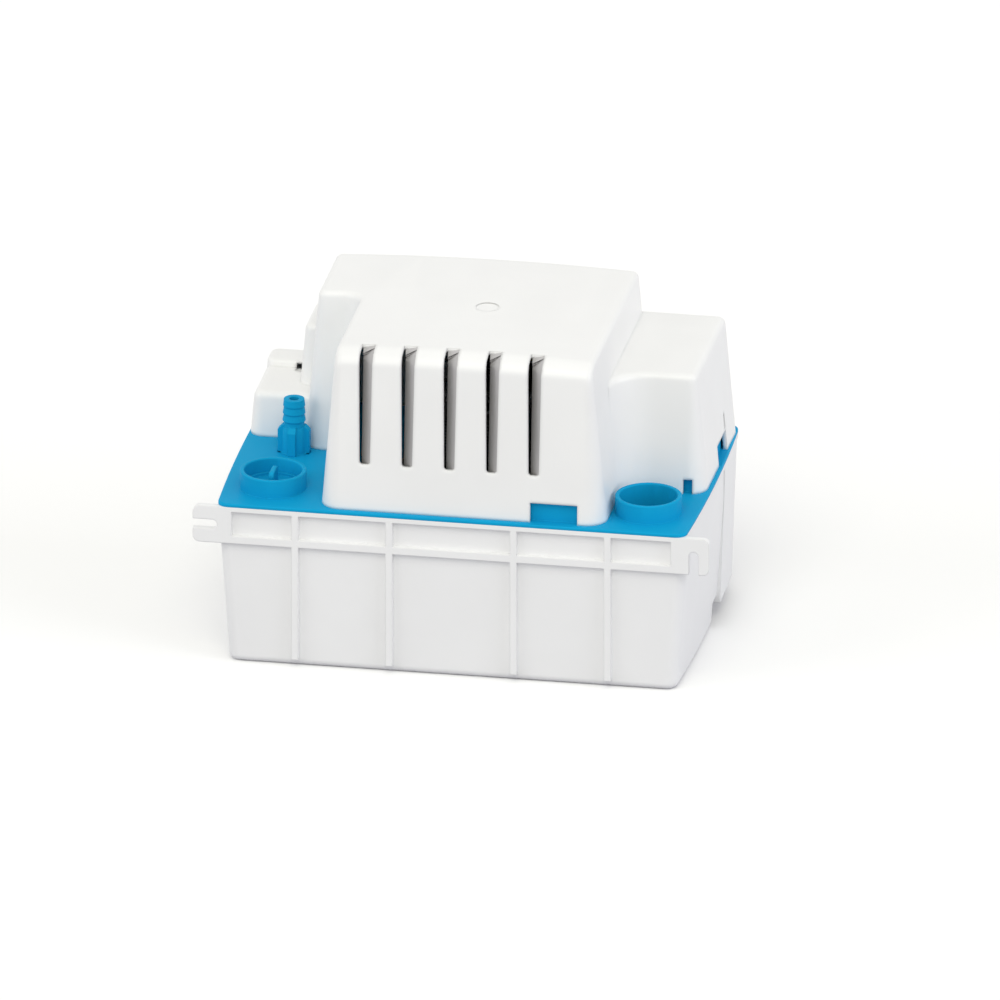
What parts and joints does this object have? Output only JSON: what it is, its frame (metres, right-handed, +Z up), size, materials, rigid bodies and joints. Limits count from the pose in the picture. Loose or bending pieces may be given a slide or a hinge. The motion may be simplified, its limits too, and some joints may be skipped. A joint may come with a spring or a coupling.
{
  "type": "condensate pump",
  "caption": "Tank condensate pump with a blue lid, two pipe inlets, a barbed check-valve outlet, a float switch and a louvred motor cover that lifts off.",
  "frame": {"origin": "centre of the tank's footprint at floor level", "axes": "+X along the long side, +Y away from the side with the wall ears, +Z up"},
  "size_m": [0.3056, 0.176, 0.199],
  "materials": {
    "white_polypropylene": "fine satin",
    "white_abs": "satin",
    "blue_abs": "satin",
    "black_nylon": "satin",
    "black_rubber": "matte",
    "zinc_plated_steel": "plated",
    "lamination_steel": "varnished",
    "copper": "bare",
    "brass": "bare",
    "sintered_bronze": "oiled",
    "cast_aluminium": "cast",
    "nylon_natural": "satin",
    "coil_tape": "satin",
    "red_acetal": "satin"
  },
  "bodies": {
    "pump_body": {"tank": "white_polypropylene", "lid": "blue_abs", "discharge_tube": "black_rubber", "volute_housing": "black_nylon", "volute_cover": "black_nylon", "column_screws": "zinc_plated_steel", "lower_bearing": "sintered_bronze", "upper_bearing": "sintered_bronze", "lower_bracket": "zinc_plated_steel", "upper_bracket": "zinc_plated_steel", "stator_laminations": "lamination_steel", "shading_rings": "copper", "coil_bobbin": "nylon_natural", "coil_winding": "coil_tape", "stack_bolts": "zinc_plated_steel", "stack_spacers": "zinc_plated_steel", "motor_mounts": "black_rubber", "motor_screws": "zinc_plated_steel", "float_guide": "black_nylon", "lever_pin": "zinc_plated_steel", "switch_bracket": "zinc_plated_steel", "bracket_screws": "zinc_plated_steel", "run_switch": "black_nylon", "safety_switch": "black_nylon", "switch_screws": "zinc_plated_steel", "switch_terminals": "brass", "terminal_block": "nylon_natural", "terminal_screws": "brass"},
    "cover": {"motor_cover": "white_abs", "cord_bushing": "black_nylon"},
    "rotor": {"motor_shaft": "zinc_plated_steel", "rotor_core": "cast_aluminium", "cooling_fan": "black_nylon", "impeller": "black_nylon"},
    "float": {"float_block": "black_nylon", "float_stem": "nylon_natural"},
    "lever": {"switch_lever": "nylon_natural"},
    "run_plunger": {"run_button": "red_acetal"},
    "safety_plunger": {"safety_button": "red_acetal"},
    "valve": {"check_valve_body": "blue_abs", "check_valve_seal": "black_rubber"},
    "ball": {"check_valve_ball": "nylon_natural"},
    "plug": {"inlet_plug": "blue_abs"}
  },
  "joints": [
    {"name": "cover_lift", "type": "slide", "parent": "pump_body", "child": "cover", "axis": [0, 0, 1], "range_m": [0, 0.11]},
    {"name": "rotor_spin", "type": "hinge", "parent": "pump_body", "child": "rotor", "pos_m": [0.005, -0.018, 0.13], "axis": [0, 0, 1], "continuous": true},
    {"name": "float_rise", "type": "slide", "parent": "pump_body", "child": "float", "axis": [0, 0, 1], "range_m": [0, 0.032]},
    {"name": "lever_swing", "type": "hinge", "parent": "pump_body", "child": "lever", "pos_m": [0.105, 0.0487, 0.138], "axis": [-1, 0, 0], "range_deg": [0, 37.35]},
    {"name": "run_press", "type": "slide", "parent": "pump_body", "child": "run_plunger", "axis": [0, 0, -1], "range_m": [0, 0.00101]},
    {"name": "safety_press", "type": "slide", "parent": "pump_body", "child": "safety_plunger", "axis": [0, 0, -1], "range_m": [0, 0.000778]},
    {"name": "valve_turn", "type": "hinge", "parent": "pump_body", "child": "valve", "pos_m": [-0.109, 0.0005, 0.1], "axis": [0, 0, 1], "range_deg": [0, 90]},
    {"name": "ball_lift", "type": "slide", "parent": "pump_body", "child": "ball", "axis": [0, 0, 1], "range_m": [0, 0.005]},
    {"name": "plug_pull", "type": "slide", "parent": "pump_body", "child": "plug", "axis": [0, 0, 1], "range_m": [0, 0.03]}
  ],
  "couplings": [
    {"joint": "lever_swing", "follows": "float_rise", "rad_per_m": 20.358},
    {"joint": "run_press", "follows": "float_rise", "ratio": 0.031192},
    {"joint": "safety_press", "follows": "float_rise", "ratio": 0.023993}
  ]
}
